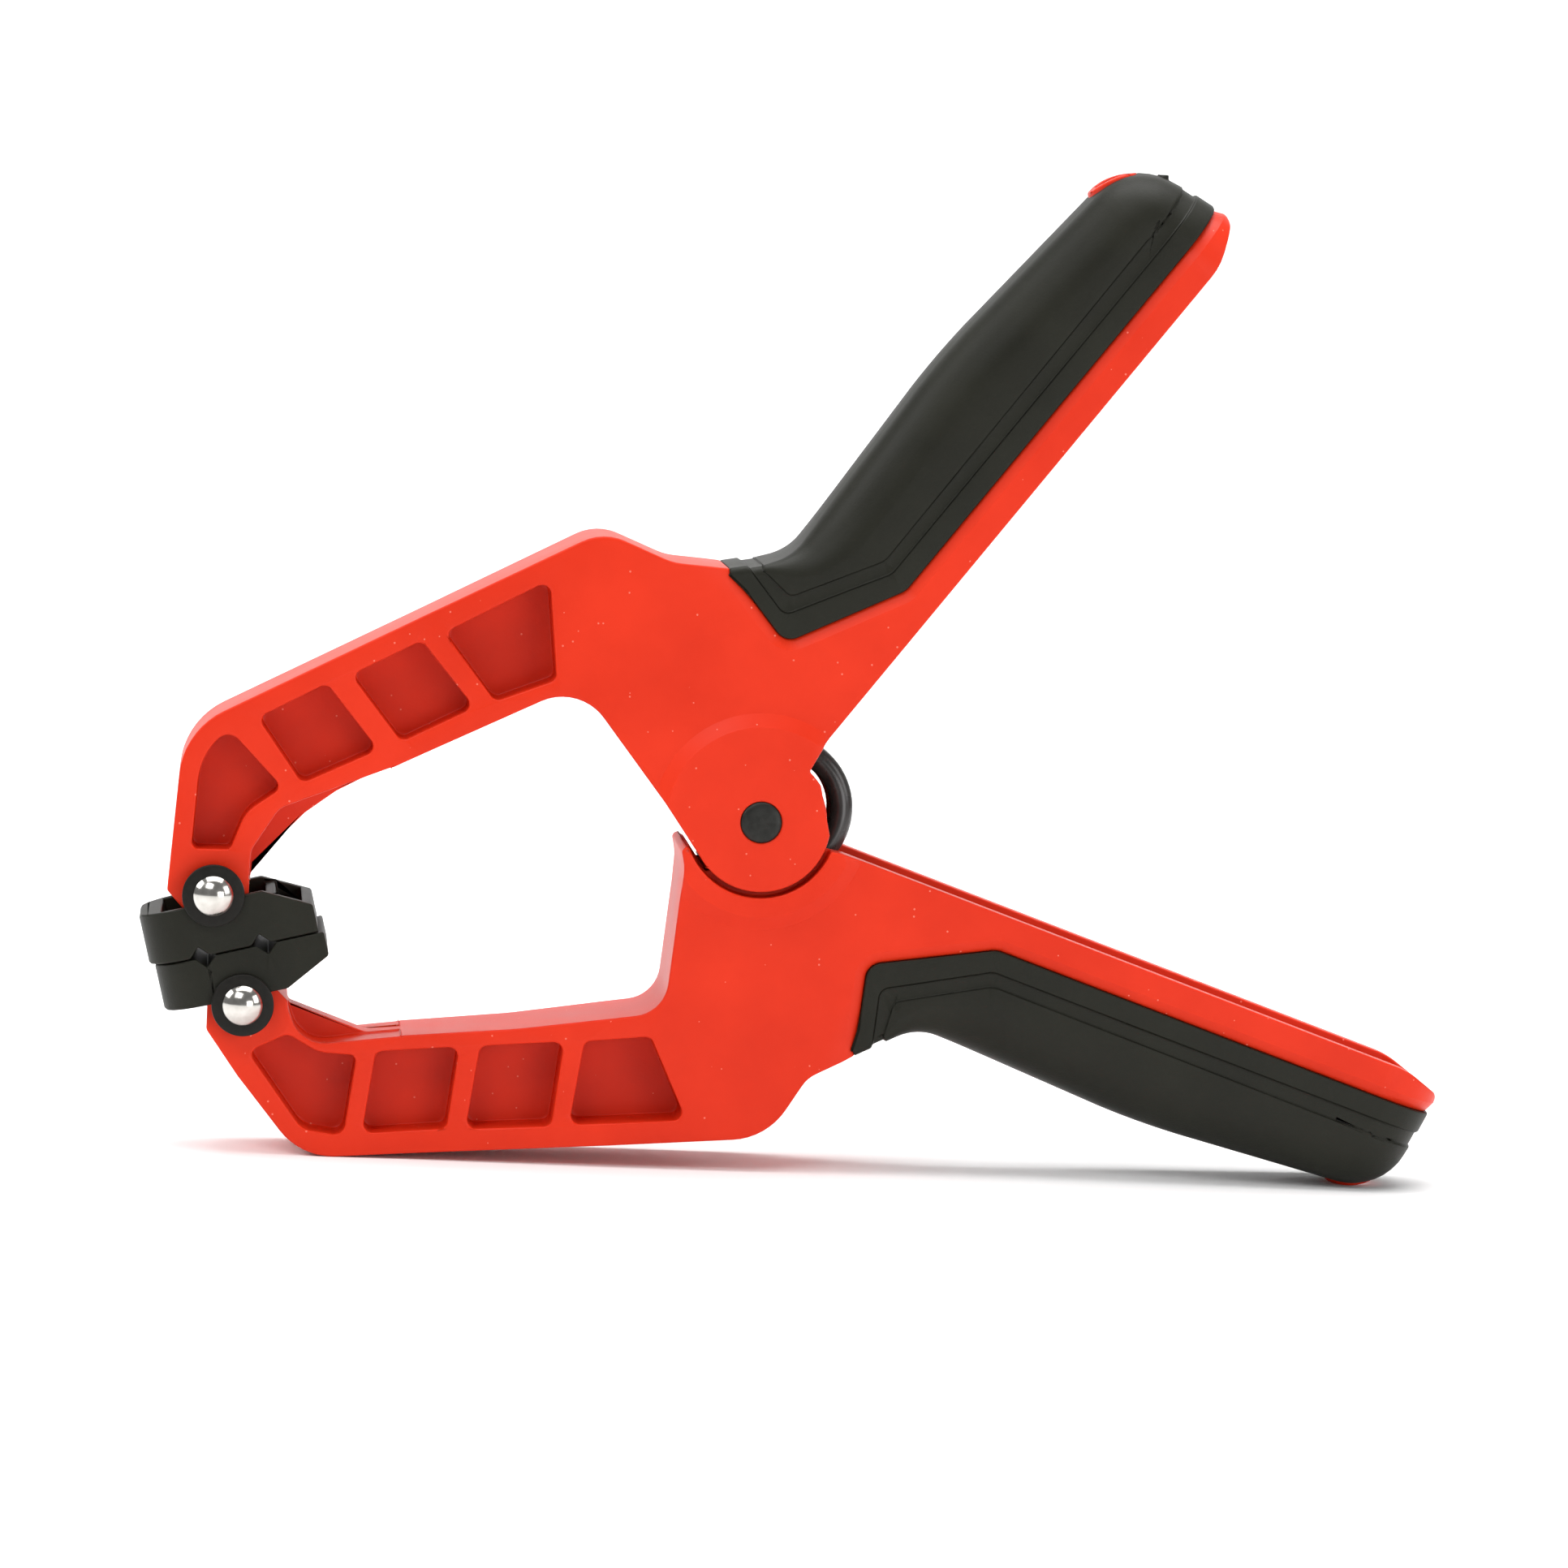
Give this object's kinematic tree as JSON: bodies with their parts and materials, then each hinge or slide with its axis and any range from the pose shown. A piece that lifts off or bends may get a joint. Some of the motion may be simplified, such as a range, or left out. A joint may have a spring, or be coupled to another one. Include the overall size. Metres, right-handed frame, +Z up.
{
  "type": "spring clamp",
  "caption": "Plastic spring clamp with two ribbed jaws, swivelling pads, rubber-covered handles and a coil spring round the pivot pin.",
  "frame": {"origin": "middle of the bounding box at the bottom, where the lower jaw and the lower handle stand", "axes": "+X from the jaws towards the handles, +Z up, -Y towards the viewer of the picture; the pivot pin runs along Y"},
  "size_m": [0.2338, 0.0338, 0.18],
  "materials": {
    "red_nylon": "satin",
    "black_rubber": "matte",
    "black_washer": "satin",
    "blackened_steel": "gloss",
    "nickel_plate": "polished"
  },
  "bodies": {
    "lower_half": {"lower_arm": "red_nylon", "lower_grip": "black_rubber", "pivot_pin": "blackened_steel", "torsion_spring": "blackened_steel", "lower_rivet": "nickel_plate", "lower_rivet_near_washer": "black_washer", "lower_rivet_far_washer": "black_washer"},
    "upper_half": {"upper_arm": "red_nylon", "upper_grip": "black_rubber", "upper_rivet": "nickel_plate", "upper_rivet_near_washer": "black_washer", "upper_rivet_far_washer": "black_washer"},
    "upper_shoe": {"upper_pad": "black_rubber"},
    "lower_shoe": {"lower_pad": "black_rubber"}
  },
  "joints": [
    {"name": "squeeze", "type": "hinge", "parent": "lower_half", "child": "upper_half", "pos_m": [-0.00802, 0, 0.06267], "axis": [0, 1, 0], "range_deg": [0, 60], "stiffness_Nm_per_rad": 5, "springref_deg": -40.11, "deforming": ["torsion_spring"]},
    {"name": "upper_pad_swivel", "type": "hinge", "parent": "upper_half", "child": "upper_shoe", "pos_m": [-0.10402, 0, 0.04612], "axis": [0, 1, 0], "range_deg": [-30, 0]},
    {"name": "lower_pad_swivel", "type": "hinge", "parent": "lower_half", "child": "lower_shoe", "pos_m": [-0.09817, 0, 0.02692], "axis": [0, 1, 0], "range_deg": [0, 30]}
  ],
  "couplings": [
    {"joint": "upper_pad_swivel", "follows": "squeeze", "ratio": -0.5},
    {"joint": "lower_pad_swivel", "follows": "squeeze", "ratio": 0.5}
  ]
}
